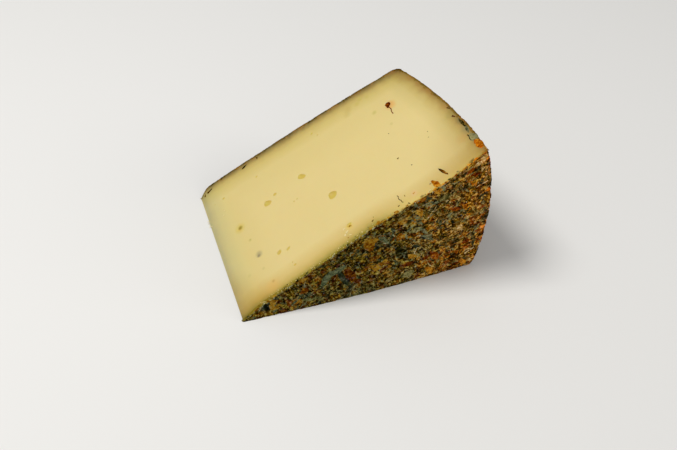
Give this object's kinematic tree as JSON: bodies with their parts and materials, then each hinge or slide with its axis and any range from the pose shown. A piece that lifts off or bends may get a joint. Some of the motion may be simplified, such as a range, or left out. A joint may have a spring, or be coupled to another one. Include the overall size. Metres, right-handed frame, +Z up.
{
  "type": "cheese wedge",
  "caption": "Wedge of semi-hard cheese with a dried herb and flower petal crust, lying on a cut face.",
  "frame": {"origin": "middle of the wedge's box on the surface that it rests on", "axes": "+X from the wedge's point to the wheel's rim, +Y along the wheel's axis away from the crusted front face, +Z up"},
  "size_m": [0.1284, 0.0968, 0.0828],
  "materials": {
    "paste": "smooth cut cheese paste, slightly waxy",
    "herb_crust": "rough crust of dried herbs and petals"
  },
  "bodies": {
    "root": {"cheese_wedge": "paste"}
  },
  "joints": []
}
